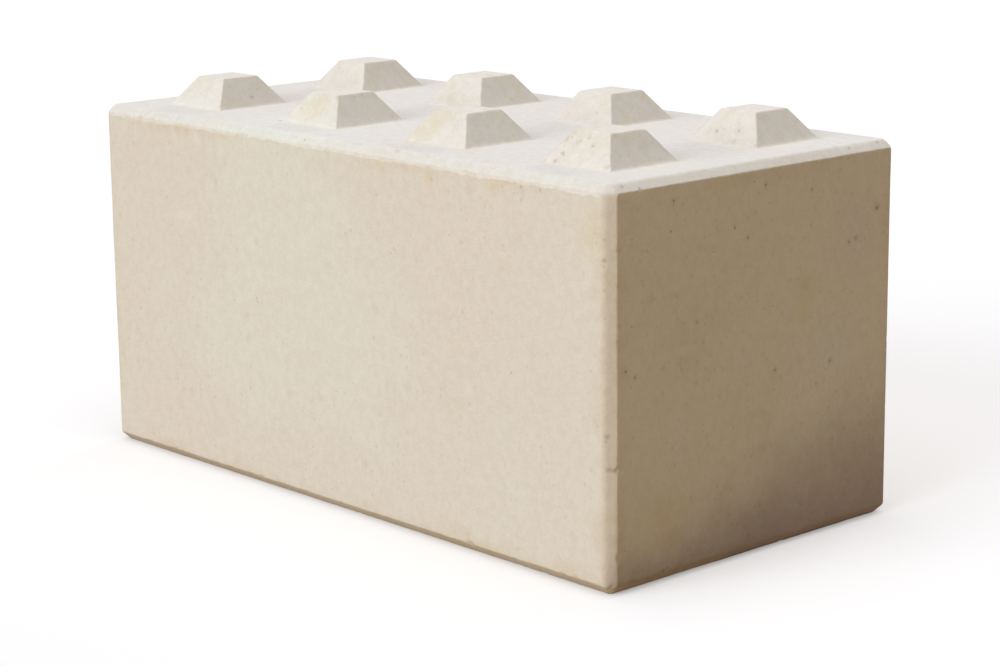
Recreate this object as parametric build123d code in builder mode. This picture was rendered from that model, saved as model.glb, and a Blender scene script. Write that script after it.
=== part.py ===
from build123d import *
from math import atan2, degrees
import os

# Interlocking concrete block, cast in one piece.
#
# A plain chamfered block carries a grid of square studs on its top face. The same grid of
# sockets, a little wider and deeper than the studs, is sunk into its underside, so blocks
# stack in line or lapped by whole studs.
#
# Frame: millimetres, +Z up, +X along the length, +Y across the width. The origin is the
# middle of the underside.

# Driving dimensions of the block, without its studs
block_length = 1600.0
block_width = 800.0
block_height = 770.0

# Chamfers along the upright corners, round the top face and round the underside
corner_chamfer = 18.0
top_chamfer = 16.0
base_chamfer = 20.0

# Studs are square, taper evenly from base to top, and stand on a square grid
grid_pitch = 400.0
stud_base_width = 182.0
stud_top_width = 92.0
stud_height = 62.0

# Room that a socket leaves round a seated stud, on each side and above it
socket_side_clearance = 15.0
socket_depth_clearance = 10.0

# As many studs as the flat of the top face has room for
studs_along = 1 + int((block_length - 2 * top_chamfer - stud_base_width) // grid_pitch)
studs_across = 1 + int((block_width - 2 * top_chamfer - stud_base_width) // grid_pitch)

# Sizes that follow from the stud
stud_taper = degrees(atan2(stud_base_width - stud_top_width, 2 * stud_height))
socket_depth = stud_height + socket_depth_clearance
socket_mouth_width = stud_base_width + 2 * socket_side_clearance
socket_roof_width = stud_top_width + 2 * socket_side_clearance
socket_taper = degrees(atan2(socket_mouth_width - socket_roof_width, 2 * socket_depth))

with BuildPart() as block:
    # Block body, with its upright corners cut off in plan
    with BuildSketch(Plane.XY) as plan:
        Rectangle(block_length, block_width)
        chamfer(plan.vertices(), length=corner_chamfer)
    extrude(amount=block_height)

    # Chamfers that run right round the top face and the underside
    chamfer(block.faces().sort_by(Axis.Z)[-1].edges(), length=top_chamfer)
    chamfer(block.faces().sort_by(Axis.Z)[0].edges(), length=base_chamfer)

    # Studs on the top face
    with BuildSketch(Plane.XY.offset(block_height)) as stud_bases:
        with GridLocations(grid_pitch, grid_pitch, studs_along, studs_across):
            Rectangle(stud_base_width, stud_base_width)
    extrude(amount=stud_height, taper=stud_taper)

    # Sockets in the underside, on the same grid
    with BuildSketch(Plane.XY) as socket_mouths:
        with GridLocations(grid_pitch, grid_pitch, studs_along, studs_across):
            Rectangle(socket_mouth_width, socket_mouth_width)
    extrude(amount=socket_depth, taper=socket_taper, mode=Mode.SUBTRACT)

block.part.label = "concrete_block"

os.makedirs("parts", exist_ok=True)
export_step(block.part, "parts/concrete_block.step")
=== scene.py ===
# %% [markdown]
# # A stacking block of cast concrete
# The block is one casting: a chamfered body, square studs on its top and sockets of the same shape in its
# underside. This lesson dresses the exact solid as it looks in use. The solid is loaded first and is never
# moved, so everything made later takes its sizes from it.

# %% Load the solid
import math
from typing import NamedTuple

import bpy
import numpy as np
from mathutils import Matrix, Vector, geometry, noise
from mathutils.bvhtree import BVHTree


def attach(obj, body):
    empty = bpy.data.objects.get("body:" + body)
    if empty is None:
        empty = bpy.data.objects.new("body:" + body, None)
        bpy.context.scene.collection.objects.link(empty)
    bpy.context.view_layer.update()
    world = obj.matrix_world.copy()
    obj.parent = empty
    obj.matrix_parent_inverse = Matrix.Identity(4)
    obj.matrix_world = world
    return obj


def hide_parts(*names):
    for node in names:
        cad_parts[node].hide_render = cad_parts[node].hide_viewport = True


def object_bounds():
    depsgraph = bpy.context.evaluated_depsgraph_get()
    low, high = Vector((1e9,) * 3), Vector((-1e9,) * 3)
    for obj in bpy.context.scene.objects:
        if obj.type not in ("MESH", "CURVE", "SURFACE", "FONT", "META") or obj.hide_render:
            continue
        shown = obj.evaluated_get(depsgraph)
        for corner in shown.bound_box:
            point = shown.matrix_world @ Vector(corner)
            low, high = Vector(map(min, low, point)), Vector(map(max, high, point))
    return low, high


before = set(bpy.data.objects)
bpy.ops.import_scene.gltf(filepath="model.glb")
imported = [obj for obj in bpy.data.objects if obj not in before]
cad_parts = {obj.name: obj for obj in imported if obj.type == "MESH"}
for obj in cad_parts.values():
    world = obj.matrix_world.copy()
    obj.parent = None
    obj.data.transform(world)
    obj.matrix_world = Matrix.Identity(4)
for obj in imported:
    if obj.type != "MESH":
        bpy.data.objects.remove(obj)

cad_low, cad_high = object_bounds()
cad_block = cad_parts["concrete_block"]
print("solid from", tuple(cad_low), "to", tuple(cad_high))

# %% [markdown]
# ## Camera
# The picture was taken from about eye height, a few metres off one corner, with a longish lens. A camera
# could be aimed by eye until it looks right. Here its place, aim and focal length were solved from the
# straight edges of the block, so each edge lands where the photograph has it.

# %% Place the camera
IMAGE_WIDTH = 1000
IMAGE_HEIGHT = 666
FOCAL_PIXELS = 2558.0
SENSOR_WIDTH = 36.0
CAMERA_EYE = Vector((3.982, -3.560, 1.521))
VIEW_AZIMUTH = math.radians(47.73)
VIEW_ELEVATION = math.radians(12.77)
VIEW_ROLL = math.radians(-0.63)
UP = Vector((0.0, 0.0, 1.0))


def camera_axes():
    """Right, up and forward of the camera, in the frame of the block."""
    forward = Vector((-math.sin(VIEW_AZIMUTH) * math.cos(VIEW_ELEVATION),
                      math.cos(VIEW_AZIMUTH) * math.cos(VIEW_ELEVATION),
                      -math.sin(VIEW_ELEVATION)))
    level = forward.cross(UP).normalized()
    upright = level.cross(forward)
    right = level * math.cos(VIEW_ROLL) + upright * math.sin(VIEW_ROLL)
    up = upright * math.cos(VIEW_ROLL) - level * math.sin(VIEW_ROLL)
    return right, up, forward


VIEW_RIGHT, VIEW_UP, VIEW_FORWARD = camera_axes()
camera_data = bpy.data.cameras.new("camera")
camera_data.sensor_fit = "HORIZONTAL"
camera_data.sensor_width = SENSOR_WIDTH
camera_data.lens = FOCAL_PIXELS / IMAGE_WIDTH * SENSOR_WIDTH
camera = bpy.data.objects.new("camera", camera_data)
bpy.context.scene.collection.objects.link(camera)
turn = Matrix((VIEW_RIGHT, VIEW_UP, -VIEW_FORWARD)).transposed()
camera.matrix_world = Matrix.Translation(CAMERA_EYE) @ turn.to_4x4()
bpy.context.scene.camera = camera
bpy.context.scene.view_settings.view_transform = "Standard"
print("lens", round(camera_data.lens, 1), "mm")

# %% [markdown]
# ## Light and floor
# Outdoors the long face and the top are in even daylight, and the end is in shade, lit only by the sky and
# by what the ground throws back. Area lamps would do, but they fade with distance and grey the floor. Broad
# suns and a dim world give the same light everywhere: one from the front, one from overhead and a weak one
# that keeps the back from going dull. A sun of strength pi shows a facing surface in its own colour, so
# every strength is written as a share of that.

# %% Set the lights
FULL_SUN = math.pi
SKY_SHARE = 0.30
SKY_COLOUR = (1.0, 0.97, 0.97, 1.0)
SKY_WHITE = (1.0, 1.0, 1.0, 1.0)


def add_sun(name, toward, share, softness_deg, colour=(1.0, 1.0, 1.0)):
    """A sun that shines from the direction toward, as a share of full strength."""
    data = bpy.data.lights.new(name, "SUN")
    data.energy = FULL_SUN * share
    data.angle = math.radians(softness_deg)
    data.color = colour
    lamp = bpy.data.objects.new(name, data)
    lamp.rotation_euler = (-Vector(toward)).to_track_quat("-Z", "Y").to_euler()
    bpy.context.scene.collection.objects.link(lamp)
    return lamp


add_sun("daylight", toward=(-0.08, -1.0, 0.24), share=0.745, softness_deg=50.0, colour=(0.945, 1.0, 1.08))
add_sun("overhead", toward=(0.1, -0.1, 1.0), share=0.365, softness_deg=80.0, colour=(1.03, 1.0, 1.0))
add_sun("back fill", toward=(-0.12, 1.0, 0.35), share=0.22, softness_deg=30.0)

# %% [markdown]
# The sky lights the block only dimly, but behind the block it has to be white. The Light Path node tells
# apart the rays that look at the surroundings, straight or by way of a mirror or glass, from those that
# carry light to the block. The floor needs the same switch. A Light Path node belongs in the tree that uses
# it rather than in a node group, so one function wires it into both.

# %% Tell looking from lighting
def add_looking(tree):
    """1 for rays that look at the surroundings, 0 for those that carry their light."""
    path = tree.nodes.new("ShaderNodeLightPath")
    looking = path.outputs["Is Camera Ray"]
    for name in ("Is Glossy Ray", "Is Transmission Ray"):
        either = tree.nodes.new("ShaderNodeMath")
        either.operation = "MAXIMUM"
        tree.links.new(looking, either.inputs[0])
        tree.links.new(path.outputs[name], either.inputs[1])
        looking = either.outputs[0]
    return looking


def add_switch(tree, lighting, seen):
    """The output of a shader that is seen as one shader and lights the block as another."""
    choose = tree.nodes.new("ShaderNodeMixShader")
    tree.links.new(add_looking(tree), choose.inputs["Fac"])
    tree.links.new(lighting, choose.inputs[1])
    tree.links.new(seen, choose.inputs[2])
    return choose.outputs[0]


print("a switch for the sky and the floor")

# %% Hang the sky
def sky_world():
    """White to look at, and a dim even light on the block."""
    world = bpy.data.worlds.new("sky")
    world.use_nodes = True
    tree = world.node_tree
    dim = tree.nodes["Background"]
    dim.inputs["Strength"].default_value = SKY_SHARE
    dim.inputs["Color"].default_value = SKY_COLOUR
    white = tree.nodes.new("ShaderNodeBackground")
    white.inputs["Color"].default_value = SKY_WHITE
    sky = add_switch(tree, dim.outputs[0], white.outputs[0])
    tree.links.new(sky, tree.nodes["World Output"].inputs["Surface"])
    return world


bpy.context.scene.world = sky_world()
print("world", bpy.context.scene.world.name)

# %% [markdown]
# The floor is pale to look at and keeps the shadow of the block. In the light that it throws back on the
# block it is warm, as sandy ground is.

# %% Lay the floor
FLOOR_HALF_WIDTH = 60.0
FLOOR_WHITE = (0.80, 0.80, 0.80, 1.0)
FLOOR_LIFT = 0.30
GROUND_BOUNCE = (0.47, 0.315, 0.12, 1.0)


def floor_material():
    """Pale to look at, and as warm and dark as bare ground in the light that it throws back."""
    material = bpy.data.materials.new("pale floor")
    material.use_nodes = True
    tree = material.node_tree
    tree.nodes.clear()
    output = tree.nodes.new("ShaderNodeOutputMaterial")
    pale = tree.nodes.new("ShaderNodeBsdfDiffuse")
    pale.inputs["Color"].default_value = FLOOR_WHITE
    lift = tree.nodes.new("ShaderNodeEmission")
    lift.inputs["Strength"].default_value = FLOOR_LIFT
    seen = tree.nodes.new("ShaderNodeAddShader")
    tree.links.new(pale.outputs[0], seen.inputs[0])
    tree.links.new(lift.outputs[0], seen.inputs[1])
    ground = tree.nodes.new("ShaderNodeBsdfDiffuse")
    ground.inputs["Color"].default_value = GROUND_BOUNCE
    surface = add_switch(tree, ground.outputs[0], seen.outputs[0])
    tree.links.new(surface, output.inputs["Surface"])
    return material


floor_corners = [(x * FLOOR_HALF_WIDTH, y * FLOOR_HALF_WIDTH, cad_low.z)
                 for x, y in ((-1, -1), (1, -1), (1, 1), (-1, 1))]
floor_mesh = bpy.data.meshes.new("floor")
floor_mesh.from_pydata(floor_corners, [], [(0, 1, 2, 3)])
floor_mesh.materials.append(floor_material())
floor = bpy.data.objects.new("floor", floor_mesh)
bpy.context.scene.collection.objects.link(floor)
print("floor", 2 * FLOOR_HALF_WIDTH, "m wide")

# %% [markdown]
# ## The flat faces of the casting
# Every face of the block is flat, because a steel mould has flat plates. The exact solid arrives as bare
# triangles, so they are grouped again into the flat faces that the mould's plates left. Each face keeps its
# corners in order, and knows which face lies across each edge.

# %% Read the triangles
CORNER_MERGE = 1e-5
SAME_PLANE = 0.99995
EDGE_ON = 0.01


class FlatFace:
    """One flat face of the block: its outward normal, two axes in its plane and its corner loops."""

    def __init__(self, normal, level):
        self.normal = normal
        self.level = level
        across_up = UP.cross(normal)
        self.along = across_up.normalized() if across_up.length > EDGE_ON else Vector((1.0, 0.0, 0.0))
        self.across = normal.cross(self.along)
        self.loops = []

    def flat(self, point):
        """Coordinates of a point of space in the plane of the face."""
        return Vector((point.dot(self.along), point.dot(self.across)))

    def lift(self, place, height=0.0):
        """The point of space at a place in the plane, raised by height along the normal."""
        return self.along * place[0] + self.across * place[1] + self.normal * (self.level + height)


def solid_triangles(mesh):
    """Corner points of the solid, merged, and its triangles as corner numbers."""
    corners = []
    numbers = {}
    triangles = []
    mesh.calc_loop_triangles()
    for triangle in mesh.loop_triangles:
        ids = []
        for v in triangle.vertices:
            key = tuple(round(x / CORNER_MERGE) for x in mesh.vertices[v].co)
            if key not in numbers:
                numbers[key] = len(corners)
                corners.append(mesh.vertices[v].co.copy())
            ids.append(numbers[key])
        triangles.append(ids)
    return corners, triangles


corners, triangles = solid_triangles(cad_block.data)
print(len(triangles), "triangles,", len(corners), "corners")

# %% Group them into flat faces
def flat_faces():
    """The flat face of each triangle, and for each directed edge the face that has it on its rim."""
    normals = [(corners[b] - corners[a]).cross(corners[c] - corners[a]).normalized()
               for a, b, c in triangles]
    edge_owner = {}
    for number, ids in enumerate(triangles):
        for k in range(3):
            edge_owner[ids[k], ids[(k + 1) % 3]] = number
    face_of = {}
    for start in range(len(triangles)):
        if start in face_of:
            continue
        face = FlatFace(normals[start], corners[triangles[start][0]].dot(normals[start]))
        waiting = [start]
        face_of[start] = face
        while waiting:
            ids = triangles[waiting.pop()]
            for k in range(3):
                beyond = edge_owner[ids[(k + 1) % 3], ids[k]]
                if beyond not in face_of and normals[beyond].dot(face.normal) > SAME_PLANE:
                    face_of[beyond] = face
                    waiting.append(beyond)
    rim = {}
    for (a, b), number in edge_owner.items():
        if face_of[edge_owner[b, a]] is not face_of[number]:
            rim[a, b] = face_of[number]
    return face_of, rim


def order_loops(face):
    """Chains the rim edges of a face into closed loops of corners."""
    after = {a: b for (a, b), owner in rim.items() if owner is face}
    while after:
        first = min(after)
        loop = [first]
        here = after.pop(first)
        while here != first:
            loop.append(here)
            here = after.pop(here)
        face.loops.append(loop)


face_of, rim = flat_faces()
faces = list({id(face): face for face in face_of.values()}.values())
for face in faces:
    order_loops(face)
print(len(faces), "flat faces,", len(rim) // 2, "edges")

# %% Name the faces
LEVEL_MERGE = 1e-4
LEVEL_DIGITS = 4
SQUARE_ON = 0.99
levels = sorted({round(c.z, LEVEL_DIGITS) for c in corners})
body_top = levels[-2]
rim_foot = levels[-3]
half_length = cad_high.x
half_width = cad_high.y


def face_kind(face):
    """What a face is on the block, told from where it looks and how far it reaches."""
    own = [corners[c] for loop in face.loops for c in loop]
    low, high = min(c.z for c in own), max(c.z for c in own)
    out_x, out_y = half_length - LEVEL_MERGE, half_width - LEVEL_MERGE
    on_outline = any(abs(c.x) > out_x or abs(c.y) > out_y for c in own)
    if high > body_top + LEVEL_MERGE:
        return "stud top" if low > body_top + LEVEL_MERGE else "stud side"
    if face.normal.z > SQUARE_ON:
        return "top"
    if face.normal.z < -SQUARE_ON:
        return "underside" if low < cad_low.z + LEVEL_MERGE else "socket roof"
    if abs(face.normal.z) < EDGE_ON:
        if abs(face.normal.x) > SQUARE_ON:
            return "end"
        return "long side" if abs(face.normal.y) > SQUARE_ON else "corner chamfer"
    if not on_outline and face.normal.z < 0:
        return "socket side"
    slant = abs(face.normal.x) - abs(face.normal.y)
    along = "corner" if abs(slant) < EDGE_ON else "end" if slant > 0 else "long"
    return along + (" rim" if face.normal.z > 0 else " foot")


def narrow_width(face):
    """Area of a face over its longest edge: the width of a chamfer, the height of a side."""
    area, longest = 0.0, 0.0
    for loop in face.loops:
        flat = [face.flat(corners[c]) for c in loop]
        for a, b in zip(flat, flat[1:] + flat[:1]):
            area += (a.x * b.y - b.x * a.y) / 2
            longest = max(longest, (b - a).length)
    return area / longest


for face in faces:
    face.kind = face_kind(face)
    face.narrow = narrow_width(face)
for kind in sorted({face.kind for face in faces}):
    print(kind, sum(face.kind == kind for face in faces))

# %% [markdown]
# ## From the photograph to the block
# Air holes, chips and stains that stand out have to sit where the photograph shows them. They could be
# measured by hand. Here each is named by its pixel, and a ray from the camera through that pixel finds its
# place on the solid, so it stays on the surface seen from any side.

# %% Look through a pixel
solid_tree = BVHTree.FromPolygons(corners, triangles)


def pixel_ray(x, y):
    """Direction in which a pixel of the photograph looks."""
    return (VIEW_FORWARD * FOCAL_PIXELS + VIEW_RIGHT * (x - IMAGE_WIDTH / 2)
            - VIEW_UP * (y - IMAGE_HEIGHT / 2)).normalized()


def seen_at(x, y):
    """The point of the solid that a pixel looks at, and the flat face that it lies on."""
    point, _, triangle, _ = solid_tree.ray_cast(CAMERA_EYE, pixel_ray(x, y))
    return point, face_of[triangle]


def photo_place(point):
    """Pixel of the photograph where a point of the block shows."""
    away = point - CAMERA_EYE
    scale = FOCAL_PIXELS / away.dot(VIEW_FORWARD)
    return Vector((IMAGE_WIDTH / 2 + scale * away.dot(VIEW_RIGHT),
                   IMAGE_HEIGHT / 2 - scale * away.dot(VIEW_UP)))


print("the middle of the photograph looks at", seen_at(IMAGE_WIDTH / 2, IMAGE_HEIGHT / 2)[1].kind)

# %% [markdown]
# ## Worn edges
# The edge between two faces of a casting is called an arris. Fresh from the mould it is already a little
# round, it wanders by a millimetre, and handling knocks small chips out of it. A Bevel modifier gives one
# even width, so the edges are made by hand: each face stops short of its arris by a distance that changes
# along the way, and a narrow rounded strip joins the two faces. Each kind of arris has its own wear: the
# mould's filler strip leaves the long faces soft and the ends crisp, and the rim of the top, cast last, is
# the most ragged. Below the rim of the long faces the rounding reaches further down the face than up the
# rim.

# %% Wear of each kind of arris
class Wear(NamedTuple):
    """Wear of an arris: rounding and chip depth in metres, and edge darkening between 0 and 1, grime on
    most arrises and painted shade at some.
    """
    radius: float
    wander_share: float
    chips_per_metre: float
    chip_reach: float
    dirt_and_shade: float


USUAL_WEAR = Wear(radius=0.0028, wander_share=0.45, chips_per_metre=1.5, chip_reach=0.0030, dirt_and_shade=0.5)
WEAR_OF = {
    frozenset(("long side", "corner chamfer")): Wear(0.0080, 0.45, 1.0, 0.0025, 0.15),
    frozenset(("end", "corner chamfer")): Wear(0.0022, 0.50, 1.5, 0.0025, 0.35),
    frozenset(("long side", "long rim")): Wear(0.0050, 0.75, 5.0, 0.0034, 0.25),
    frozenset(("end", "end rim")): Wear(0.0020, 0.60, 1.5, 0.0025, 0.5),
    frozenset(("top", "long rim")): Wear(0.0060, 0.60, 1.5, 0.0030, 0.15),
    frozenset(("top", "end rim")): Wear(0.0060, 0.60, 1.5, 0.0030, 0.15),
    frozenset(("top", "corner rim")): Wear(0.0060, 0.30, 0.0, 0.0, 0.1),
    frozenset(("long rim", "corner rim")): Wear(0.0055, 0.30, 0.0, 0.0, 0.1),
    frozenset(("end rim", "corner rim")): Wear(0.0055, 0.30, 0.0, 0.0, 0.1),
    frozenset(("corner chamfer", "corner rim")): Wear(0.0050, 0.40, 0.0, 0.0, 0.2),
    # At the feet of the studs the edge darkening is painted shade in the crease.
    frozenset(("top", "stud side")): Wear(0.0055, 0.50, 0.5, 0.0015, 0.2),
    frozenset(("stud side",)): Wear(0.0022, 0.50, 1.0, 0.0018, 0.6),
    frozenset(("stud side", "stud top")): Wear(0.0040, 0.50, 1.2, 0.0018, 0.3),
    # Along the top of the long feet the dark line is partly grime and partly painted shade.
    frozenset(("long side", "long foot")): Wear(0.0030, 0.70, 2.5, 0.0040, 0.8),
    frozenset(("end", "end foot")): Wear(0.0060, 0.50, 2.5, 0.0040, 0.0),
    frozenset(("underside", "long foot")): Wear(0.0040, 0.70, 2.5, 0.0040, 0.3),
    frozenset(("underside", "end foot")): Wear(0.0040, 0.70, 2.5, 0.0040, 0.3),
}
SETBACK_SHARE = {("long side", "long rim"): 1.35, ("long rim", "long side"): 0.45}
print(len(WEAR_OF), "kinds of arris with wear of their own")

# %% Arrises
STATION_STEP = 0.005
HIDDEN_STATION_STEP = 0.012
FEWEST_SEGMENTS = 3
CHIP_HALF_LENGTH = 0.008
CHIP_LENGTH_RANGE = (0.5, 1.6)
CHIP_REACH_RANGE = (0.3, 1.5)
CHIP_LEAN_RANGE = (0.4, 1.6)
CHIP_END_CLEARANCE = 0.012
LEAST_ROUNDING_SHARE = 0.35
MOST_SETBACK_SHARE = 0.38
SLOW_WANDER_SCALE = 9.0
SLOW_WANDER_OFFSET = 3.0
QUICK_WANDER_SCALE = 75.0
QUICK_WANDER_OFFSET = 5.0
QUICK_WANDER_SHARE = 0.7
HIDDEN_KINDS = {"underside", "socket side", "socket roof"}
SEED = 11

rng = np.random.RandomState(SEED)


class Arris:
    """One straight edge of the block, with its two faces, its stations and its chips."""

    def __init__(self, start, end):
        self.start, self.end = corners[start], corners[end]
        self.ends = (start, end)
        self.faces = (rim[start, end], rim[end, start])
        self.length = (self.end - self.start).length
        self.way = (self.end - self.start) / self.length
        kinds = frozenset(face.kind for face in self.faces)
        self.wear = WEAR_OF.get(kinds, USUAL_WEAR)
        step = HIDDEN_STATION_STEP if kinds <= HIDDEN_KINDS else STATION_STEP
        self.segments = max(FEWEST_SEGMENTS, round(self.length / step))
        self.chips = []
        for _ in range(rng.poisson(self.wear.chips_per_metre * self.length)):
            self.add_chip(rng.uniform(0.0, self.length),
                          CHIP_HALF_LENGTH * rng.uniform(*CHIP_LENGTH_RANGE),
                          self.wear.chip_reach * rng.uniform(*CHIP_REACH_RANGE),
                          rng.uniform(*CHIP_LEAN_RANGE))

    def add_chip(self, place, half_length, reach, lean):
        """A chip at a place along the arris. Lean tells how much of it is in the first face."""
        self.chips.append((place, half_length, reach, lean))

    def chip_at(self, distance):
        """How deep a chip is at a distance along the arris, and its lean."""
        deepest, lean = 0.0, 1.0
        for place, half_length, reach, chip_lean in self.chips:
            share = abs(distance - place) / half_length
            if share < 1.0 and reach * (1.0 - share ** 2) > deepest:
                deepest, lean = reach * (1.0 - share ** 2), chip_lean
        return deepest, lean

    def setback(self, face, distance):
        """How far a face stops short of the arris at a distance along it."""
        point = self.start + self.way * distance
        slow = noise.noise(point * SLOW_WANDER_SCALE + face.normal * SLOW_WANDER_OFFSET)
        quick = noise.noise(point * QUICK_WANDER_SCALE + face.normal * QUICK_WANDER_OFFSET)
        wander = 1.0 + self.wear.wander_share * (slow + QUICK_WANDER_SHARE * quick)
        chip, lean = self.chip_at(distance)
        from_ends = min(distance, self.length - distance) / CHIP_END_CLEARANCE
        reach = chip * (lean if face is self.faces[0] else 2.0 - lean) * min(1.0, max(0.0, from_ends))
        other = self.faces[1] if face is self.faces[0] else self.faces[0]
        rounding = self.wear.radius * SETBACK_SHARE.get((face.kind, other.kind), 1.0)
        back = rounding * max(LEAST_ROUNDING_SHARE, wander) + reach
        return min(back, MOST_SETBACK_SHARE * face.narrow)


arrises = {(a, b): Arris(a, b) for (a, b) in rim if a < b}
print(len(arrises), "arrises,", sum(len(a.chips) for a in arrises.values()), "chips")

# %% Chips that the photograph shows
CHIP_PIXELS = [(574, 194, 5, 2), (305, 146, 6, 3), (246, 135, 6, 3), (397, 154, 6, 3), (152, 119, 6, 2),
               (357, 152, 5, 2), (605, 263, 11, 3), (609, 439, 8, 3), (612, 471, 9, 5), (617, 250, 4, 3),
               (338, 98, 6, 4), (555, 161, 7, 3), (622, 186, 6, 4), (639, 188, 5, 3), (257, 80, 4, 2),
               (612, 560, 10, 4), (612, 590, 8, 5)]
CHIP_PIXEL_REACH = 6.0
NAMED_LEAN_RANGE = (0.6, 1.4)
MM = 0.001


def nearest_arris(x, y):
    """The arris that shows nearest to a pixel, and the distance along it."""
    ray = pixel_ray(x, y)
    best, found = CHIP_PIXEL_REACH, None
    for arris in arrises.values():
        if all(face.normal.dot(CAMERA_EYE) < face.level for face in arris.faces):
            continue
        crossing = geometry.intersect_line_line(arris.start, arris.end, CAMERA_EYE, CAMERA_EYE + ray)
        if crossing is None:
            continue
        along = (crossing[0] - arris.start).dot(arris.way)
        gap = (photo_place(crossing[0]) - Vector((x, y))).length
        if 0 < along < arris.length and gap < best:
            best, found = gap, (arris, along)
    return found


placed_chips = 0
for x, y, half_mm, reach_mm in CHIP_PIXELS:
    found = nearest_arris(x, y)
    if found:
        found[0].add_chip(found[1], half_mm * MM, reach_mm * MM, rng.uniform(*NAMED_LEAN_RANGE))
        placed_chips += 1
print(placed_chips, "of", len(CHIP_PIXELS), "chips placed by their pixels")

# %% [markdown]
# ## Air holes
# Air that is trapped against the mould leaves small round holes, most of them a few millimetres wide. A
# bump texture would only shade them. Here each hole is cut into the face as a real bowl: its rim becomes
# part of the face's outline, and rings of points go down from it. Holes that stand out in the photograph
# are put at their own pixels, and the rest are scattered as thickly as the photograph shows on that kind of
# face.

# %% Holes that the photograph shows
HOLE_PIXELS = [
    # On the end
    (674, 201, 4.4), (671, 232, 3.8), (735, 228, 4.2), (748, 238, 4.4), (766, 185, 5.0), (812, 190, 4.2),
    (770, 203, 4.0), (877, 208, 7.0), (856, 238, 4.4), (849, 242, 4.0), (842, 291, 4.0), (774, 306, 3.6),
    (697, 322, 3.6), (830, 361, 4.6), (775, 370, 4.0), (816, 384, 4.0), (714, 252, 3.6), (654, 299, 3.6),
    (632, 240, 3.6), (626, 372, 4.2), (635, 378, 4.6), (632, 327, 3.6), (631, 388, 3.6), (867, 225, 3.4),
    # On the long face
    (193, 297, 3.4), (208, 376, 3.6), (265, 337, 2.8), (307, 217, 2.8), (254, 329, 2.4), (517, 193, 3.0),
    # On the rim of the top and on the top
    (380, 135, 3.0), (616, 178, 2.6), (280, 125, 2.4),
    # On the studs
    (572, 137, 3.6), (581, 141, 3.6), (589, 138, 3.0), (593, 146, 3.4), (561, 153, 3.0), (711, 128, 3.0),
    (717, 131, 4.0), (724, 129, 3.0), (739, 131, 3.6), (717, 148, 2.8), (739, 124, 2.8), (252, 97, 3.6),
    (458, 121, 2.6), (483, 120, 2.8), (322, 103, 2.6), (208, 88, 2.6), (564, 155, 3.6), (549, 165, 3.0),
    (560, 158, 2.6), (573, 146, 2.4), (586, 160, 2.4), (604, 165, 2.6), (462, 124, 2.6), (326, 99, 2.4),
]

named_holes = {id(face): [] for face in faces}
for x, y, width_mm in HOLE_PIXELS:
    point, face = seen_at(x, y)
    named_holes[id(face)].append((np.array(face.flat(point)), width_mm / 2 * MM))
print(len(HOLE_PIXELS), "holes placed by their pixels")

# %% Scatter the other holes
HOLES_PER_SQUARE_METRE = {"end": 55.0, "stud side": 160.0, "stud top": 80.0, "top": 40.0}
USUAL_HOLES_PER_SQUARE_METRE = 40.0
HOLE_RADIUS_MIN = 0.0006
HOLE_RADIUS_SPREAD = 0.0005
HOLE_RADIUS_MAX = 0.0024
HOLE_CLEARANCE = 0.004


def rim_distance(face, places):
    """Distance from each place in the plane of a face to its nearest edge, negative outside."""
    nearest = np.full(len(places), np.inf)
    for loop in face.loops:
        flat = np.array([face.flat(corners[c]) for c in loop])
        for a, b in zip(flat, np.roll(flat, -1, 0)):
            side = b - a
            t = np.clip(((places - a) @ side) / (side @ side), 0, 1)
            nearest = np.minimum(nearest, np.linalg.norm(places - a - t[:, None] * side, axis=1))
    outlines = [[face.flat(corners[c]) for c in loop] for loop in face.loops]
    return np.where(inside_outlines(outlines, places), nearest, -nearest)


def inside_outlines(outlines, places):
    """Which places lie inside closed outlines in a plane, by counting crossings."""
    inside = np.zeros(len(places), bool)
    for outline in outlines:
        flat = np.array(outline)
        for a, b in zip(flat, np.roll(flat, -1, 0)):
            crosses = (a[1] > places[:, 1]) != (b[1] > places[:, 1])
            if crosses.any():
                at = a[0] + (places[:, 1] - a[1]) * (b[0] - a[0]) / (b[1] - a[1])
                inside ^= crosses & (places[:, 0] < at)
    return inside


def face_box(face):
    """Lowest and highest coordinates of a face in its own plane."""
    flat = np.array([face.flat(corners[c]) for loop in face.loops for c in loop])
    return flat.min(0), flat.max(0)


def hole_margin(radius):
    """Room that an air hole keeps to the nearest edge."""
    return 2 * radius + HOLE_CLEARANCE / 2


def scatter_holes(face, named):
    """Holes of one face as (place, radius): the named ones first, then scattered ones clear of them."""
    low, high = face_box(face)
    span = high - low
    density = HOLES_PER_SQUARE_METRE.get(face.kind, USUAL_HOLES_PER_SQUARE_METRE)
    count = rng.poisson(density * span[0] * span[1])
    places = low + rng.uniform(size=(count, 2)) * span
    radii = np.minimum(HOLE_RADIUS_MIN + rng.exponential(HOLE_RADIUS_SPREAD, count), HOLE_RADIUS_MAX)
    if named:
        places = np.vstack([[place for place, radius in named], places])
        radii = np.concatenate([[radius for place, radius in named], radii])
    kept = []
    for place, radius, gap in zip(places, radii, rim_distance(face, places)):
        clear = gap > hole_margin(radius)
        if clear and all(math.hypot(*(place - p)) > 2 * (radius + r) + MM for p, r in kept):
            kept.append((place, radius))
    return kept


holes_of = {id(face): scatter_holes(face, named_holes[id(face)]) for face in faces}
print(sum(len(h) for h in holes_of.values()), "places for air holes")
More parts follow.
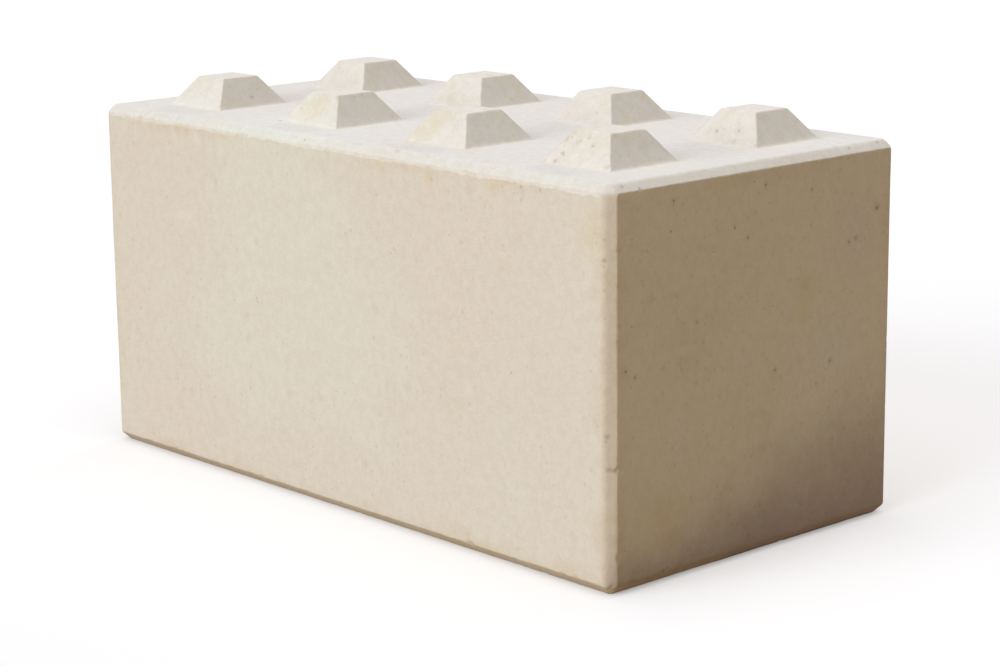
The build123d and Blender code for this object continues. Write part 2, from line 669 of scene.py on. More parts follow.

# %% [markdown]
# ## Stitching the skin
# All points go into one list, so that neighbouring faces share them and the skin is closed. Each point also
# keeps the tone of the face that it came from: the sides took theirs from steel plates, and the top, open
# to the air, dried paler. The end is a little browner of its own and is darkened further as painted shade,
# and its foot is made paler as painted light. Faces first get their outlines, then the strips along the
# arrises, then the little caps at the corners. Last, a constrained Delaunay triangulation fills each
# outline round its air holes.

# %% Points of the skin
USUAL_TONE = (0.723, 0.683, 0.597)
TONE_OF = {
    # The end is a little browner of its own; the rest of its darker tone is painted shade.
    "end": (0.620, 0.570, 0.457),
    "corner chamfer": (0.656, 0.604, 0.511),
    "top": (0.872, 0.866, 0.830),
    "long rim": (0.735, 0.724, 0.657),
    "end rim": (0.815, 0.800, 0.738),
    "corner rim": (0.735, 0.712, 0.645),
    "stud side": (0.718, 0.700, 0.656),
    "stud top": (0.880, 0.872, 0.845),
    "long foot": (0.640, 0.590, 0.510),
    # The end foot's pale tone is painted light: it lifts a downward face that gets little light.
    "end foot": (0.800, 0.760, 0.670),
    "corner foot": (0.740, 0.700, 0.630),
}
points = []
tones = []
polygons = []
hole_shade = {}
wear_and_shade = {}


def tone_of(face):
    return Vector(TONE_OF.get(face.kind, USUAL_TONE))


def add_point(position, tone):
    points.append(Vector(position))
    tones.append(tone)
    return len(points) - 1


def add_polygon(ids, outward):
    """Adds a polygon, turned so that it looks outward."""
    a, b, c = (points[i] for i in ids[:3])
    normal = (b - a).cross(c - a)
    polygons.append(tuple(ids) if normal.dot(outward) >= 0 else tuple(reversed(ids)))


def arris_between(a, b):
    return arrises[min(a, b), max(a, b)]


def inset_corner(face, before, here, after):
    """The corner of a face, set back from both of its edges there."""
    lines = []
    for a, b in ((before, here), (here, after)):
        arris = arris_between(a, b)
        distance = 0.0 if arris.ends[0] == here else arris.length
        inward = face.normal.cross((corners[b] - corners[a]).normalized())
        lines.append((inward, arris.setback(face, distance)))
    (first, r1), (second, r2) = lines
    lean = first.dot(second)
    alpha = (r1 - lean * r2) / (1 - lean * lean)
    beta = (r2 - lean * r1) / (1 - lean * lean)
    return corners[here] + first * alpha + second * beta


corner_point = {}
for face in faces:
    for loop in face.loops:
        for k, here in enumerate(loop):
            place = inset_corner(face, loop[k - 1], here, loop[(k + 1) % len(loop)])
            corner_point[id(face), here] = add_point(place, tone_of(face))
print(len(points), "corners of faces")

# %% Strips along the arrises
STRIP_SHARES = (1 / 3, 2 / 3)
ROUND_PULL = 0.1
CHIP_PULL = 0.95
FULL_CHIP = 0.004
LIME_ARRIS = ("long rim", "long side")
LIME_SHARES = (1 / 3, 0.88)
LIME_RUN_TONE = (0.805, 0.782, 0.722)
LIME_RUN_SCALE = 14.0
LIME_RUN_SHARE = 0.95


def edge_points(arris, face):
    """Points of a face beside an arris, from its start to its end."""
    first, last = corner_point[id(face), arris.ends[0]], corner_point[id(face), arris.ends[1]]
    travel = arris.way if face is arris.faces[0] else -arris.way
    inward = face.normal.cross(travel)
    end_setbacks = arris.setback(face, 0.0), arris.setback(face, arris.length)
    ids = [first]
    for k in range(1, arris.segments):
        share = k / arris.segments
        even = end_setbacks[0] * (1 - share) + end_setbacks[1] * share
        extra = arris.setback(face, share * arris.length) - even
        ids.append(add_point(points[first].lerp(points[last], share) + inward * extra, tone_of(face)))
    return ids + [last]


def strip_shares(arris):
    """How far across a strip its two middle rows lie. Lime that ran over an edge stops short and sharp."""
    kinds = tuple(face.kind for face in arris.faces)
    if kinds == LIME_ARRIS:
        return LIME_SHARES
    if kinds == LIME_ARRIS[::-1]:
        return tuple(1.0 - share for share in reversed(LIME_SHARES))
    return STRIP_SHARES


def strip_tone(arris, a, b, share):
    """Tone part of the way across a strip. Pale lime has run over the edge below the long rims."""
    kinds = [face.kind for face in arris.faces]
    if set(kinds) != set(LIME_ARRIS):
        return tones[a].lerp(tones[b], share)
    rim_tone, side_tone = (tones[a], tones[b]) if kinds[0] == "long rim" else (tones[b], tones[a])
    down = share if kinds[0] == "long rim" else 1.0 - share
    run = LIME_RUN_SHARE + noise.noise(points[a] * LIME_RUN_SCALE)
    lime = side_tone.lerp(Vector(LIME_RUN_TONE), min(1.0, max(0.0, run)))
    return rim_tone.lerp(lime, down / LIME_SHARES[1])


def strip_rows(arris):
    """Rows of points across the rounded strip, from the first face to the second."""
    rows = [arris.side_points[0], [], [], arris.side_points[1]]
    for a, b in zip(rows[0], rows[3]):
        middle = (points[a] + points[b]) / 2
        distance = (middle - arris.start).dot(arris.way)
        edge = arris.start + arris.way * distance
        chip = min(1.0, arris.chip_at(distance)[0] / FULL_CHIP)
        pull = edge.lerp(middle, ROUND_PULL + CHIP_PULL * chip)
        for row, t in zip(rows[1:3], strip_shares(arris)):
            place = points[a] * (1 - t) ** 2 + pull * 2 * t * (1 - t) + points[b] * t ** 2
            row.append(add_point(place, strip_tone(arris, a, b, t)))
            wear_and_shade[row[-1]] = max(arris.wear.dirt_and_shade, chip)
    return rows


for arris in arrises.values():
    arris.side_points = [edge_points(arris, face) for face in arris.faces]
    arris.rows = strip_rows(arris)
    outward = arris.faces[0].normal + arris.faces[1].normal
    for row, following in zip(arris.rows, arris.rows[1:]):
        for k in range(arris.segments):
            add_polygon((row[k], row[k + 1], following[k + 1], following[k]), outward)
print(len(points), "points along the arrises")

# %% Caps at the corners
CAP_CROWN = 0.25


def cap_corner(here):
    """Closes the small gap where several arrises meet."""
    leaving = {id(face): (b, face) for (a, b), face in rim.items() if a == here}
    face_id, ring, outward = next(iter(leaving)), [], Vector()
    for _ in range(len(leaving)):
        far, face = leaving[face_id]
        ring.append(corner_point[face_id, here])
        outward += face.normal
        arris = arris_between(here, far)
        end = 0 if arris.ends[0] == here else -1
        across = [row[end] for row in arris.rows[1:3]]
        ring += across if arris.faces[0] is face else across[::-1]
        face_id = id(rim[far, here])
    middle = sum((points[i] for i in ring), Vector()) / len(ring)
    tone = sum((tones[i] for i in ring), Vector()) / len(ring)
    centre = add_point(middle.lerp(corners[here], CAP_CROWN), tone)
    wear_and_shade[centre] = sum(wear_and_shade.get(i, 0.0) for i in ring) / len(ring)
    for a, b in zip(ring, ring[1:] + ring[:1]):
        add_polygon((a, b, centre), outward)


for here in range(len(corners)):
    cap_corner(here)
print(len(corners), "corner caps")

# %% Bowls of the air holes
HOLE_RIM_POINTS = 9
HOLE_STRETCH_RANGE = (1.0, 1.5)
HOLE_UNEVEN_RANGE = (0.88, 1.12)
HOLE_DEPTH_SHARE = 0.6
HOLE_DEPTH_RANGE = (0.7, 1.4)
HOLE_BOTTOM_DRIFT = 0.2
RING_IN_SHARE = 0.2
RING_DOWN_SHARE = 0.75
HOLE_WALL_SHADE = 0.6


def hole_rim(place, radius):
    """Uneven oval rim of an air hole, in the plane of its face."""
    spin, stretch = rng.uniform(0, math.tau), rng.uniform(*HOLE_STRETCH_RANGE)
    rim_places = []
    for k in range(HOLE_RIM_POINTS):
        angle = math.tau * k / HOLE_RIM_POINTS
        size = radius * rng.uniform(*HOLE_UNEVEN_RANGE)
        x, y = size * math.cos(angle) * stretch, size * math.sin(angle)
        rim_places.append((place[0] + x * math.cos(spin) - y * math.sin(spin),
                           place[1] + x * math.sin(spin) + y * math.cos(spin)))
    return rim_places


def cut_hole(face, ids, place, radius):
    """A bowl below a rim: one ring part of the way down, and a point at the bottom."""
    depth = radius * HOLE_DEPTH_SHARE * rng.uniform(*HOLE_DEPTH_RANGE)
    bottom_place = np.array(place) + rng.uniform(-HOLE_BOTTOM_DRIFT, HOLE_BOTTOM_DRIFT, 2) * radius
    ring = []
    for i in ids:
        beside = np.array(face.flat(points[i]))
        inside = beside * (1 - RING_IN_SHARE) + bottom_place * RING_IN_SHARE
        ring.append(add_point(face.lift(inside, -RING_DOWN_SHARE * depth), tone_of(face)))
        # The walls and bottom of each bowl are marked for painted shade with some dust, which the finish
        # darkens.
        hole_shade[ring[-1]] = HOLE_WALL_SHADE
    bottom = add_point(face.lift(bottom_place, -depth), tone_of(face))
    hole_shade[bottom] = 1.0
    for k in range(len(ids)):
        n = (k + 1) % len(ids)
        add_polygon((ids[k], ids[n], ring[n], ring[k]), face.normal)
        add_polygon((ring[k], ring[n], bottom), face.normal)


print("bowls with", HOLE_RIM_POINTS, "points round their rims")

# %% Fill the faces
FACE_STEP = 0.03
GRID_DRIFT = 0.2
GRID_MARGIN_SHARE = 0.6
HOLE_CLEAR_RADII = 3
CDT_KEEP_ALL = 0
CDT_TOLERANCE = 1e-7


def outline_loops(face):
    """Point numbers round each loop of a face."""
    loops = []
    for loop in face.loops:
        ids = []
        for a, b in zip(loop, loop[1:] + loop[:1]):
            arris = arris_between(a, b)
            side = arris.side_points[0 if arris.faces[0] is face else 1]
            ids += side[:-1] if arris.ends[0] == a else side[:0:-1]
        loops.append(ids)
    return loops


def inner_grid(face):
    """Even points inside a face, so that it isn't filled with long thin triangles."""
    low, high = face_box(face)
    rows = np.arange(low[1], high[1], FACE_STEP * math.sqrt(3) / 2)
    columns = np.arange(low[0], high[0], FACE_STEP)
    grid = np.array([(x + FACE_STEP / 2 * (k % 2), y) for k, y in enumerate(rows) for x in columns])
    grid += rng.uniform(-GRID_DRIFT, GRID_DRIFT, grid.shape) * FACE_STEP
    return grid[rim_distance(face, grid) > FACE_STEP * GRID_MARGIN_SHARE]


def clear_of_holes(grid, holes):
    """The points of a grid that stay off the holes."""
    if not holes or not len(grid):
        return grid
    centres = np.array([place for place, radius in holes])
    radii = np.array([radius for place, radius in holes])
    gap = np.linalg.norm(grid[:, None] - centres[None], axis=2) - HOLE_CLEAR_RADII * radii
    return grid[gap.min(1) > 0]


def fill_face(face):
    """Triangulates a face inside its outline, round its holes."""
    places, ids, edges = [], [], []

    def add_loop(loop_ids):
        first = len(places)
        for i in loop_ids:
            places.append(face.flat(points[i]))
            ids.append(i)
        edges.extend((first + k, first + (k + 1) % len(loop_ids)) for k in range(len(loop_ids)))

    loops = outline_loops(face)
    for loop in loops:
        add_loop(loop)
    outline = np.array(places)
    holes = [(place, radius) for place, radius in holes_of[id(face)]
             if np.linalg.norm(outline - place, axis=1).min() > hole_margin(radius)]
    hole_of = {}
    for number, (place, radius) in enumerate(holes):
        rim_ids = [add_point(face.lift(p), tone_of(face)) for p in hole_rim(place, radius)]
        hole_of.update({i: number for i in rim_ids})
        add_loop(rim_ids)
        cut_hole(face, rim_ids, place, radius)
    for place in clear_of_holes(inner_grid(face), holes):
        places.append(Vector(place))
        ids.append(add_point(face.lift(place), tone_of(face)))
    out, _, filled, origin, _, _ = geometry.delaunay_2d_cdt(places, edges, [], CDT_KEEP_ALL, CDT_TOLERANCE)
    number_of = [ids[o[0]] for o in origin]
    middles = np.array([[sum(out[v].x for v in t) / 3, sum(out[v].y for v in t) / 3] for t in filled])
    outlines = [[face.flat(points[i]) for i in loop] for loop in loops]
    for t, inside in zip(filled, inside_outlines(outlines, middles)):
        real = [number_of[v] for v in t]
        owners = {hole_of.get(i, -1) for i in real}
        in_a_hole = len(owners) == 1 and -1 not in owners
        if inside and not in_a_hole:
            add_polygon(real, face.normal)


for face in faces:
    fill_face(face)
print(len(points), "points,", len(polygons), "polygons")

# %% [markdown]
# ## The block as one mesh
# A mould plate is never dead flat, so the whole skin gets a very gentle swell. Noise vectors differ from
# run to run, so each axis reads a plain noise of its own. The tone of each point, and the marks for grimy
# edges with painted shade and for painted shade inside the air holes, are kept as mesh attributes, which
# the finish reads later. Weighted normals keep the big faces flat right up to their rounded edges.

# %% Make the block
SWELL = 0.0004
SWELL_SCALE = 5.0
RIPPLE = 0.00012
RIPPLE_SCALE = 38.0
AXIS_OFFSETS = (Vector((0.0, 0.0, 0.0)), Vector((17.3, 5.1, 9.7)), Vector((8.9, 23.6, 3.3)))
NORMAL_WEIGHT = 100


def unevenness(point):
    """A smooth wandering vector: a plain noise for each axis, read at places far apart."""
    return Vector([noise.noise(point + offset) for offset in AXIS_OFFSETS])


def settle(point):
    """A point moved by the gentle unevenness of the casting, never below the floor."""
    swell = unevenness(point * SWELL_SCALE) * SWELL
    ripple = unevenness(point * RIPPLE_SCALE) * RIPPLE
    moved = point + swell + ripple
    moved.z = max(moved.z, cad_low.z)
    return moved


block_mesh = bpy.data.meshes.new("cast_block")
block_mesh.from_pydata([settle(p) for p in points], [], polygons)
block_mesh.shade_smooth()
for name, values in (("air_hole_shade", hole_shade), ("edge_wear_and_shade", wear_and_shade)):
    attribute = block_mesh.attributes.new(name, "FLOAT", "POINT")
    attribute.data.foreach_set("value", [values.get(i, 0.0) for i in range(len(points))])
attribute = block_mesh.attributes.new("tone", "FLOAT_COLOR", "POINT")
attribute.data.foreach_set("color", [channel for tone in tones for channel in (*tone, 1.0)])
block_mesh.validate()
block = bpy.data.objects.new("cast_block", block_mesh)
bpy.context.scene.collection.objects.link(block)
normals = block.modifiers.new("flat faces", "WEIGHTED_NORMAL")
normals.weight = NORMAL_WEIGHT
normals.keep_sharp = True
block_mesh.calc_loop_triangles()
print(len(block_mesh.loop_triangles), "triangles")

# %% [markdown]
# ## Concrete
# The finish is cement paste against steel: a matt cream skin. It could be one noise through a colour ramp,
# but that gives the same cloud at every scale. Concrete shows several things at once, so each is a small
# function that makes one mask, and the finish multiplies them over the tone of the face.

# %% Short ways to wire nodes
class Wires:
    """Adds shader nodes to one tree, and joins what it is given to their sockets."""

    def __init__(self, tree):
        self.tree = tree

    def add(self, kind, inputs, **settings):
        """The first output of a new node. Each input is a plain value or the output of another node."""
        node = self.tree.nodes.new("ShaderNode" + kind)
        for name, value in settings.items():
            setattr(node, name, value)
        for name, value in inputs.items():
            if isinstance(value, bpy.types.NodeSocket):
                self.tree.links.new(value, node.inputs[name])
            else:
                node.inputs[name].default_value = value
        return next(socket for socket in node.outputs if not socket.is_unavailable)

    def math(self, operation, *values):
        return self.add("Math", dict(enumerate(values)), operation=operation)

    def ramp(self, value, start, end, low=0.0, high=1.0):
        """A smooth step from low at start to high at end."""
        ends = {"Value": value, "From Min": start, "From Max": end, "To Min": low, "To Max": high}
        return self.add("MapRange", ends, interpolation_type="SMOOTHSTEP")

    def noise(self, place, scale, detail=2.0, roughness=0.5):
        inputs = {"Vector": place, "Scale": scale, "Detail": detail, "Roughness": roughness}
        return self.add("TexNoise", inputs)

    def distance(self, place, centre):
        node = self.tree.nodes.new("ShaderNodeVectorMath")
        node.operation = "DISTANCE"
        self.tree.links.new(place, node.inputs[0])
        node.inputs[1].default_value = centre
        return node.outputs["Value"]

    def stretch(self, place, scales):
        return self.add("VectorMath", {0: place, 1: scales}, operation="MULTIPLY")

    def axes(self, place):
        node = self.tree.nodes.new("ShaderNodeSeparateXYZ")
        self.tree.links.new(place, node.inputs[0])
        return node.outputs

    def attribute(self, name, output):
        node = self.tree.nodes.new("ShaderNodeAttribute")
        node.attribute_name = name
        return node.outputs[output]

    def tint(self, colour, mask, multiplier):
        """A colour multiplied by another where a mask is 1."""
        inputs = {"Factor": mask, "A": colour, "B": (*multiplier, 1.0)}
        return self.add("Mix", inputs, data_type="RGBA", blend_type="MULTIPLY")

    def shade(self, colour, factor):
        """A colour multiplied by one number."""
        node = self.tree.nodes.new("ShaderNodeVectorMath")
        node.operation = "SCALE"
        self.tree.links.new(colour, node.inputs[0])
        self.tree.links.new(factor, node.inputs["Scale"])
        return node.outputs["Vector"]


print("ways to wire nodes:", [name for name in vars(Wires) if not name.startswith("_")])

# %% [markdown]
# The mix dries in soft patches: grey-green where it was leaner, rosy where the paste is rich. Along the
# edges of each mould plate water leaks out and leaves an uneven straw-coloured band. Both are very faint in
# daylight.

# %% Patches and bands
PATCH_SCALE = 2.6
PATCH_DRIFT = 0.6
PATCH_ROSY = 0.24
PATCH_GREY = 0.54
GREY_PATCH_PIXEL = (285, 300)
GREY_PATCH_REACH = 0.55
GREY_PATCH_SHARE = 0.30
ROSE_TINT = (0.992, 0.968, 0.968)
GREY_TINT = (1.006, 1.028, 1.024)
BAND_REACH = 0.100
BAND_CORE = 0.055
BAND_WANDER = 0.090
BAND_SCALE = 13.0
BAND_BREAK_SCALE = 3.5
BAND_BROKEN = 0.36
BAND_WHOLE = 0.60
BAND_TOP_FADE = 0.008
BAND_TINT = (0.955, 0.935, 0.870)


def grey_patches(w, place):
    """1 where the mix dried grey-green, 0 where it stayed rosy."""
    centre, _ = seen_at(*GREY_PATCH_PIXEL)
    near = w.ramp(w.distance(place, centre), GREY_PATCH_REACH, 0.0, high=GREY_PATCH_SHARE)
    drift = w.noise(place, PATCH_SCALE, detail=5.0, roughness=0.55)
    return w.ramp(w.math("MULTIPLY_ADD", drift, PATCH_DRIFT, near), PATCH_ROSY, PATCH_GREY)


def edge_bands(w, place):
    """1 at the edges of the body. An edge is as far as the middle one of the three nearest planes."""
    axes = w.axes(place)
    to_end = w.math("SUBTRACT", half_length, w.math("ABSOLUTE", axes["X"]))
    to_side = w.math("SUBTRACT", half_width, w.math("ABSOLUTE", axes["Y"]))
    from_middle = w.math("ABSOLUTE", w.math("SUBTRACT", axes["Z"], body_top / 2))
    to_level = w.math("SUBTRACT", body_top / 2, from_middle)
    least = w.math("MINIMUM", to_end, to_side)
    most = w.math("MAXIMUM", to_end, to_side)
    to_edge = w.math("MAXIMUM", least, w.math("MINIMUM", most, to_level))
    ragged = w.noise(place, BAND_SCALE, detail=5.0, roughness=0.6)
    drift = w.math("MULTIPLY_ADD", ragged, BAND_WANDER, to_edge)
    below_rim = w.ramp(axes["Z"], rim_foot, rim_foot - BAND_TOP_FADE)
    unbroken = w.ramp(w.noise(place, BAND_BREAK_SCALE, detail=2.0), BAND_BROKEN, BAND_WHOLE)
    band = w.math("MULTIPLY", w.ramp(drift, BAND_REACH, BAND_CORE), unbroken)
    return w.math("MULTIPLY", band, below_rim)


print("bands up to", BAND_REACH, "m wide along the edges of the body")

# %% [markdown]
# Close up the paste is full of fine mottle and specks, sand grains that show through. On the studs the
# mould was drawn off upwards, which leaves faint upright streaks, and yellow paste ran out round their
# feet.

# %% Mottle, specks, streaks and stains
SPECK_SCALE = 60.0
SPECK_LEAST = 0.68
SPECK_EDGE = 0.34
SPECK_MIDDLE = 0.08
SPECK_TINT = (0.905, 0.885, 0.86)
SMUDGE_SCALE = 21.0
SMUDGE_LEAST = 0.55
SMUDGE_TINT = (0.955, 0.945, 0.935)
MOTTLE_SCALE = 48.0
MOTTLE_PALE = 0.36
MOTTLE_DARK = 0.64
MOTTLE_TINT = (0.960, 0.947, 0.917)
NOISE_MIDDLE = 0.5
GRAIN_SCALE = 170.0
GRAIN_SHARE = 0.18
STREAK_SCALES = (60.0, 60.0, 7.0)
STREAK_SHARE = 0.06
STUD_FADE = 0.006
STAIN_SCALE = 15.0
STAIN_NONE = 0.46
STAIN_FULL = 0.68
STAIN_TINT = (0.988, 0.972, 0.920)
FOOT_PASTE_WIDTH = 0.045
FOOT_PASTE_OUTER_SHARE = 1.2
FOOT_PASTE_INNER_SHARE = 0.4
FOOT_PASTE_DEEPEST = 0.004
FOOT_PASTE_FULL = 0.002
FOOT_PASTE_TINT = (1.012, 1.0, 0.962)
stud_centres = [sum((corners[c] for c in face.loops[0]), Vector()) / len(face.loops[0])
                for face in faces if face.kind == "stud top"]
stud_columns = sorted({round(centre.x, LEVEL_DIGITS) for centre in stud_centres})
stud_pitch = stud_columns[1] - stud_columns[0]
stud_feet = [corners[c].x for face in faces if face.kind == "stud side" for c in face.loops[0]]
stud_half_base = stud_columns[0] - min(stud_feet)


def specks(w, place, scale, least):
    """1 on dark specks: the middles of the Voronoi cells whose random number is over least."""
    cells = w.tree.nodes.new("ShaderNodeTexVoronoi")
    cells.inputs["Scale"].default_value = scale
    w.tree.links.new(place, cells.inputs["Vector"])
    near = w.ramp(cells.outputs["Distance"], SPECK_EDGE, SPECK_MIDDLE)
    chosen = w.ramp(w.axes(cells.outputs["Color"])["X"], least, 1.0)
    return w.math("MULTIPLY", near, chosen)


def mottle(w, place):
    """Soft cells of darker paste, a centimetre or two wide, between 0 and 1."""
    return w.ramp(w.noise(place, MOTTLE_SCALE, detail=4.0, roughness=0.65), MOTTLE_PALE, MOTTLE_DARK)


def even_shade(w, pattern, share):
    """A factor round 1 from a noise round a half."""
    return w.math("MULTIPLY_ADD", w.math("SUBTRACT", pattern, NOISE_MIDDLE), share, 1.0)


def on_studs(w, place):
    """1 on the studs, 0 on the body below them."""
    return w.ramp(w.axes(place)["Z"], body_top, body_top + STUD_FADE)


def stud_stains(w, place):
    """1 on the stained parts of the studs."""
    stained = w.ramp(w.noise(place, STAIN_SCALE, detail=4.0, roughness=0.6), STAIN_NONE, STAIN_FULL)
    return w.math("MULTIPLY", on_studs(w, place), stained)


def foot_paste(w, place):
    """1 on the top face just round the studs. A ping-pong folds the grid of studs onto one."""
    axes = w.axes(place)
    fold_x = w.math("PINGPONG", w.math("SUBTRACT", axes["X"], stud_columns[0]), stud_pitch / 2)
    fold_y = w.math("PINGPONG", w.math("SUBTRACT", axes["Y"], stud_centres[0].y), stud_pitch / 2)
    from_stud = w.math("MAXIMUM", fold_x, fold_y)
    drift = w.math("MULTIPLY_ADD", w.noise(place, STAIN_SCALE, detail=4.0), FOOT_PASTE_WIDTH, from_stud)
    near = w.ramp(drift, stud_half_base + FOOT_PASTE_WIDTH * FOOT_PASTE_OUTER_SHARE,
                  stud_half_base + FOOT_PASTE_WIDTH * FOOT_PASTE_INNER_SHARE)
    on_top = w.ramp(axes["Z"], body_top - FOOT_PASTE_DEEPEST, body_top - FOOT_PASTE_FULL)
    return w.math("MULTIPLY", near, on_top)


print(len(stud_centres), "studs,", round(stud_pitch, LEVEL_DIGITS), "m apart")

# %% [markdown]
# A few marks stand out: a pale run of lime below the rim, yellow smears and brown spots on the studs,
# darker smudges on the end. Each sits at its own pixel, and its colour fades out with the distance from
# there.

# %% Marks that the photograph shows
PALE_MARK = (1.035, 1.05, 1.075)
YELLOW_MARK = (0.982, 0.957, 0.875)
BROWN_MARK = (0.975, 0.962, 0.945)
COOL_MARK = (0.975, 0.985, 1.04)
DARK_MARK = (0.76, 0.71, 0.66)
SMUDGE_MARK = (0.86, 0.835, 0.81)
SPOT_MARK = (0.91, 0.865, 0.80)
MARKS = {
    PALE_MARK: [
        (196, 136, 0.030), (470, 390, 0.022), (186, 215, 0.050),
    ],
    YELLOW_MARK: [
        (424, 131, 0.060), (322, 103, 0.040), (430, 178, 0.028), (492, 187, 0.024), (178, 128, 0.020),
        (380, 166, 0.018), (440, 118, 0.040), (310, 112, 0.050), (592, 235, 0.070), (664, 520, 0.090),
        (806, 286, 0.042), (803, 312, 0.038),
    ],
    BROWN_MARK: [
        (450, 402, 0.060), (690, 330, 0.180), (757, 412, 0.150),
    ],
    COOL_MARK: [
        (855, 230, 0.120), (832, 345, 0.090),
    ],
    DARK_MARK: [
        (604, 261, 0.007), (603, 267, 0.005), (607, 437, 0.009), (606, 442, 0.004), (609, 470, 0.009),
        (614, 471, 0.007), (521, 187, 0.006), (540, 190, 0.005), (622, 187, 0.005), (639, 188, 0.005),
        (305, 140, 0.005), (849, 148, 0.006), (877, 142, 0.006), (555, 161, 0.006), (563, 153, 0.005),
        (546, 166, 0.005),
    ],
    SMUDGE_MARK: [
        (674, 201, 0.012), (735, 228, 0.010), (748, 238, 0.011), (766, 185, 0.012), (812, 190, 0.010),
        (877, 208, 0.016), (856, 238, 0.013), (849, 242, 0.011), (830, 361, 0.013), (626, 372, 0.010),
        (635, 378, 0.012), (775, 370, 0.010), (816, 384, 0.010), (697, 322, 0.010), (620, 250, 0.010),
    ],
    SPOT_MARK: [
        (575, 132, 0.010), (567, 139, 0.011), (578, 142, 0.011), (589, 138, 0.010), (593, 146, 0.010),
        (563, 154, 0.010), (556, 161, 0.013), (606, 168, 0.011), (615, 135, 0.011), (717, 131, 0.011),
        (739, 131, 0.010), (734, 141, 0.010), (338, 98, 0.012), (252, 97, 0.010),
    ],
}
MARK_OUTER_SHARE = 1.5
MARK_INNER_SHARE = 0.5


def add_marks(w, place, colour):
    """A colour with every named mark laid over it, each with a ragged edge."""
    ragged = w.noise(place, STAIN_SCALE, detail=4.0, roughness=0.65)
    for tint, places in MARKS.items():
        for x, y, reach in places:
            centre, _ = seen_at(x, y)
            away = w.math("MULTIPLY_ADD", ragged, reach, w.distance(place, centre))
            fade = w.ramp(away, reach * MARK_OUTER_SHARE, reach * MARK_INNER_SHARE)
            colour = w.tint(colour, fade, tint)
    return colour


print(sum(len(places) for places in MARKS.values()), "marks placed by their pixels")

# %% [markdown]
# Dirt gathers on the edges, and at the feet of the studs and along the long feet its darkening is partly
# painted shade. The air holes are darkened inside as painted shade with some dust. Both ends are darker
# towards the ground as painted shade, and one end has a purplish-brown wedge of painted shade that climbs
# to its far corner.

# %% Grime and painted shade
EDGE_DIRT_AND_SHADE_SCALE = 30.0
EDGE_DIRT_AND_SHADE_NONE = 0.42
EDGE_DIRT_AND_SHADE_FULL = 0.66
EDGE_DIRT_AND_SHADE_LEAST = 0.15
EDGE_DIRT_AND_SHADE_TINT = (0.80, 0.745, 0.66)
HOLE_SHADE_TINT = (0.78, 0.72, 0.65)
WEDGE_LOW = 0.09
WEDGE_HIGH = 0.27
WEDGE_FADE = 1.45
WEDGE_FULL = -0.1
WEDGE_NEAR_SIDE_SHARE = -0.9
WEDGE_SCALE = 8.0
WEDGE_WANDER = 0.18
WEDGE_UNDER_FOOT = 0.030
WEDGE_FOOT_START_SHARE = -0.4
WEDGE_FOOT_FULL_SHARE = 0.5
WEDGE_ROUND_START = 0.024
WEDGE_ROUND_END = 0.004
WEDGE_NEAR_SHARE = 0.75
SHADE_WEDGE_TINT = (0.60, 0.545, 0.60)
END_SHADE_HEIGHT = 0.34
END_SHADE_ROUND_START = 0.006
END_SHADE_ROUND_END = 0.002
END_SHADE_TINT = (0.915, 0.89, 0.865)


def edge_dirt_and_shade(w, place):
    """1 on the dark stretches of the edges: grime, with painted shade at the stud feet and the long feet.
    """
    uneven = w.noise(place, EDGE_DIRT_AND_SHADE_SCALE, detail=3.0)
    dirt_and_shade_here = w.ramp(uneven, EDGE_DIRT_AND_SHADE_NONE, EDGE_DIRT_AND_SHADE_FULL, low=EDGE_DIRT_AND_SHADE_LEAST)
    return w.math("MULTIPLY", w.attribute("edge_wear_and_shade", "Fac"), dirt_and_shade_here)


def shade_wedge(w, place):
    """Painted shade, 1 at the foot of one end; the wedge is highest at the far corner."""
    axes = w.axes(place)
    near_side = WEDGE_NEAR_SIDE_SHARE * half_width
    climb = w.ramp(axes["Y"], near_side, half_width, WEDGE_LOW, WEDGE_HIGH)
    drift = w.noise(place, WEDGE_SCALE, detail=5.0, roughness=0.65)
    blur = w.math("MULTIPLY_ADD", w.math("SUBTRACT", drift, NOISE_MIDDLE), WEDGE_WANDER, axes["Z"])
    share = w.math("DIVIDE", blur, climb)
    under_foot = w.ramp(axes["Y"], WEDGE_FOOT_START_SHARE * half_width, WEDGE_FOOT_FULL_SHARE * half_width,
                        0.0, WEDGE_UNDER_FOOT)
    on_end = w.ramp(w.math("ADD", axes["X"], under_foot),
                    half_length - WEDGE_ROUND_START, half_length - WEDGE_ROUND_END)
    strength = w.ramp(axes["Y"], near_side, 0.0, WEDGE_NEAR_SHARE, 1.0)
    wedge = w.math("MULTIPLY", w.ramp(share, WEDGE_FADE, WEDGE_FULL), on_end)
    return w.math("MULTIPLY", wedge, strength)


def shaded_end_foot(w, place):
    """Painted shade: 1 at the ground, 0 from its height up. Only the ends get it."""
    axes = w.axes(place)
    low = w.ramp(axes["Z"], END_SHADE_HEIGHT, 0.0)
    on_end = w.ramp(w.math("ABSOLUTE", axes["X"]),
                    half_length - END_SHADE_ROUND_START, half_length - END_SHADE_ROUND_END)
    return w.math("MULTIPLY", low, on_end)


print("damp from", WEDGE_LOW, "to", WEDGE_HIGH, "m high")

# %% Concrete finish
SPECULAR_LEVEL = 0.1
GRAIN_LOW = 0.3
GRAIN_HIGH = 0.7
ROUGHNESS_LOW = 0.82
ROUGHNESS_HIGH = 0.97
MOTTLE_RELIEF = 0.5
BUMP_STRENGTH = 0.5
BUMP_DISTANCE = 0.0008


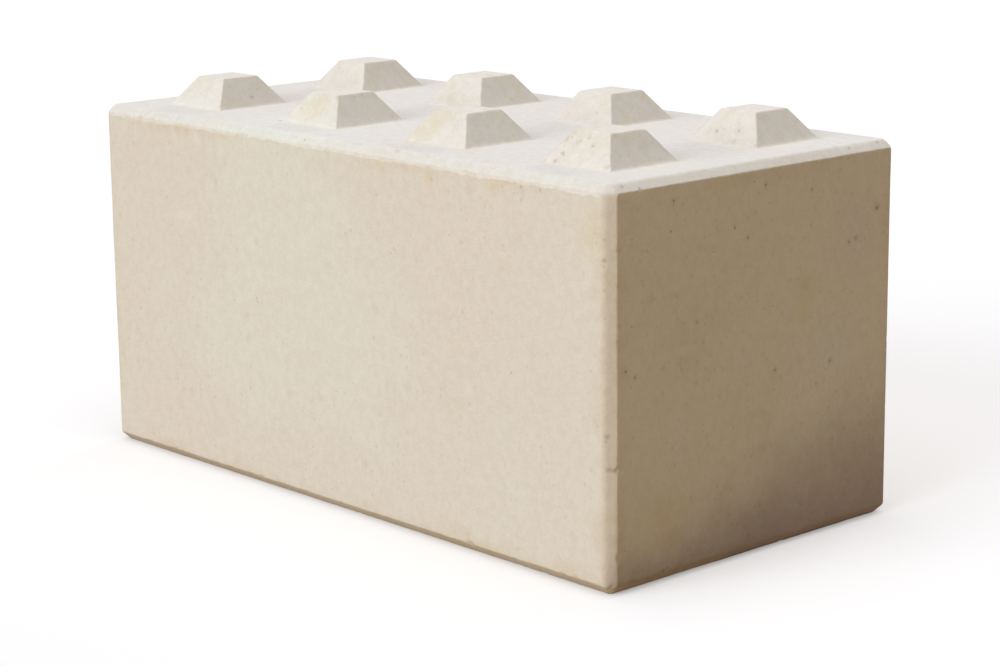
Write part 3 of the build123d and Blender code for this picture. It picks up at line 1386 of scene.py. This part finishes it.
def concrete_material():
    """Matt cast concrete, from the tone of each face and the masks above."""
    material = bpy.data.materials.new("cast concrete")
    material.use_nodes = True
    w = Wires(material.node_tree)
    shader = w.tree.nodes["Principled BSDF"]
    shader.inputs["Specular IOR Level"].default_value = SPECULAR_LEVEL
    place = w.tree.nodes.new("ShaderNodeTexCoord").outputs["Object"]

    grey = grey_patches(w, place)
    rosy = w.math("SUBTRACT", 1.0, grey)
    soft = mottle(w, place)
    grain = w.noise(place, GRAIN_SCALE, detail=3.0, roughness=0.6)
    streaks = even_shade(w, w.noise(w.stretch(place, STREAK_SCALES), 1.0, detail=3.0), STREAK_SHARE)
    streaks = w.math("MULTIPLY_ADD", w.math("SUBTRACT", streaks, 1.0), on_studs(w, place), 1.0)

    colour = w.attribute("tone", "Color")
    colour = w.tint(colour, grey, GREY_TINT)
    colour = w.tint(colour, rosy, ROSE_TINT)
    colour = w.tint(colour, edge_bands(w, place), BAND_TINT)
    colour = w.tint(colour, foot_paste(w, place), FOOT_PASTE_TINT)
    colour = w.tint(colour, stud_stains(w, place), STAIN_TINT)
    colour = add_marks(w, place, colour)
    colour = w.tint(colour, soft, MOTTLE_TINT)
    colour = w.tint(colour, specks(w, place, SPECK_SCALE, SPECK_LEAST), SPECK_TINT)
    colour = w.tint(colour, specks(w, place, SMUDGE_SCALE, SMUDGE_LEAST), SMUDGE_TINT)
    # Painted shade: both ends darker towards the ground.
    colour = w.tint(colour, shaded_end_foot(w, place), END_SHADE_TINT)
    # Painted shade: a purplish-brown wedge at the foot of one end.
    colour = w.tint(colour, shade_wedge(w, place), SHADE_WEDGE_TINT)
    # Darker edges: grime, with painted shade at the stud feet and the long feet.
    colour = w.tint(colour, edge_dirt_and_shade(w, place), EDGE_DIRT_AND_SHADE_TINT)
    # Painted shade with some dust inside the air holes.
    colour = w.tint(colour, w.attribute("air_hole_shade", "Fac"), HOLE_SHADE_TINT)
    colour = w.shade(colour, even_shade(w, grain, GRAIN_SHARE))
    colour = w.shade(colour, streaks)
    w.tree.links.new(colour, shader.inputs["Base Color"])

    roughness = w.ramp(grain, GRAIN_LOW, GRAIN_HIGH, ROUGHNESS_LOW, ROUGHNESS_HIGH)
    w.tree.links.new(roughness, shader.inputs["Roughness"])
    height = w.math("MULTIPLY_ADD", soft, MOTTLE_RELIEF, grain)
    bump = {"Height": height, "Strength": BUMP_STRENGTH, "Distance": BUMP_DISTANCE}
    w.tree.links.new(w.add("Bump", bump), shader.inputs["Normal"])
    return material


block_mesh.materials.append(concrete_material())
print(len(block_mesh.materials[0].node_tree.nodes), "nodes in", block_mesh.materials[0].name)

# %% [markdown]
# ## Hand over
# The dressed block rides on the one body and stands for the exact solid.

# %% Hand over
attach(block, "root")
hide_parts("concrete_block")
